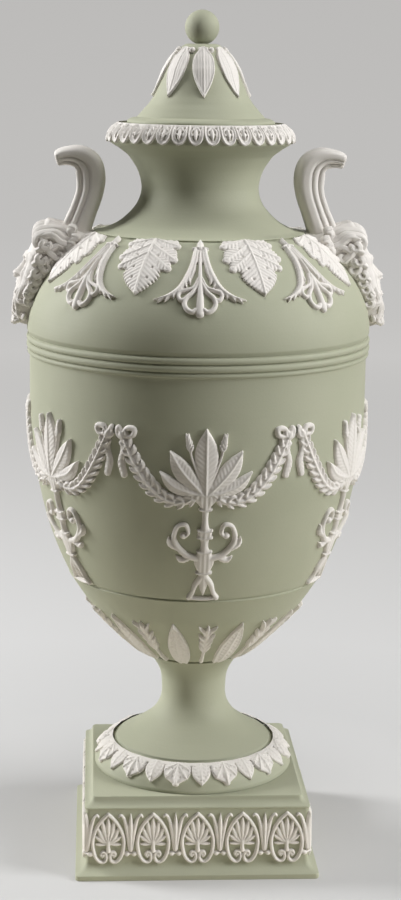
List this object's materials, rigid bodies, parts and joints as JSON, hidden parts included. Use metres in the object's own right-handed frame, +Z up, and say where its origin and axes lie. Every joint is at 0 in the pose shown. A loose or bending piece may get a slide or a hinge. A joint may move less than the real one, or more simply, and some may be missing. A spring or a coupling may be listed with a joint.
{
  "type": "lidded urn",
  "caption": "Two-handled covered urn of matt sage-green stoneware with white relief sprigs, on a hollow square plinth.",
  "frame": {"origin": "centre of the plinth's underside, on the axis that all the turned pieces share", "axes": "+Z up along the turned axis, -Y the front, +X through the right-hand handle as seen from the front"},
  "size_m": [0.1356, 0.1244, 0.3045],
  "materials": {
    "green_body": "unglazed matt sage-green stoneware",
    "white_relief": "unglazed matt white stoneware",
    "steel_fittings": "plain turned steel",
    "leather_seal": "brown washer leather"
  },
  "bodies": {
    "urn": {"plinth": "green_body", "pedestal": "green_body", "vase_body": "green_body", "tie_bolt": "steel_fittings", "tie_nut": "steel_fittings", "bowl_washer": "steel_fittings", "plinth_washer": "steel_fittings", "bowl_seal": "leather_seal", "rim_band": "white_relief", "foot_leaf_band": "white_relief", "handle_left": "white_relief", "handle_right": "white_relief", "mask_left": "white_relief", "mask_right": "white_relief", "shoulder_leaf_1": "white_relief", "shoulder_leaf_2": "white_relief", "shoulder_leaf_3": "white_relief", "shoulder_leaf_4": "white_relief", "shoulder_leaf_5": "white_relief", "shoulder_leaf_6": "white_relief", "shoulder_leaf_7": "white_relief", "shoulder_leaf_8": "white_relief", "shoulder_palmette_1": "white_relief", "shoulder_palmette_2": "white_relief", "shoulder_palmette_3": "white_relief", "shoulder_palmette_4": "white_relief", "shoulder_palmette_5": "white_relief", "shoulder_palmette_6": "white_relief", "bowl_spray_1": "white_relief", "bowl_spray_2": "white_relief", "bowl_spray_3": "white_relief", "bowl_spray_4": "white_relief", "bowl_spray_5": "white_relief", "bowl_spray_6": "white_relief", "bowl_spray_7": "white_relief", "bowl_spray_8": "white_relief", "bowl_spray_9": "white_relief", "bowl_spray_10": "white_relief", "frieze_bay_1": "white_relief", "frieze_bay_2": "white_relief", "frieze_bay_3": "white_relief", "frieze_bay_4": "white_relief", "frieze_bay_5": "white_relief", "frieze_bay_6": "white_relief", "plinth_frieze_front": "white_relief", "plinth_frieze_right": "white_relief", "plinth_frieze_back": "white_relief", "plinth_frieze_left": "white_relief"},
    "lid": {"lid_shell": "green_body", "lid_finial": "green_body", "lid_leaf_1": "white_relief", "lid_leaf_2": "white_relief", "lid_leaf_3": "white_relief", "lid_leaf_4": "white_relief", "lid_leaf_5": "white_relief", "lid_leaf_6": "white_relief", "lid_leaf_7": "white_relief", "lid_leaf_8": "white_relief"}
  },
  "joints": [
    {"name": "lid_lift", "type": "slide", "parent": "urn", "child": "lid", "axis": [0, 0, 1], "range_m": [0, 0.05]}
  ]
}
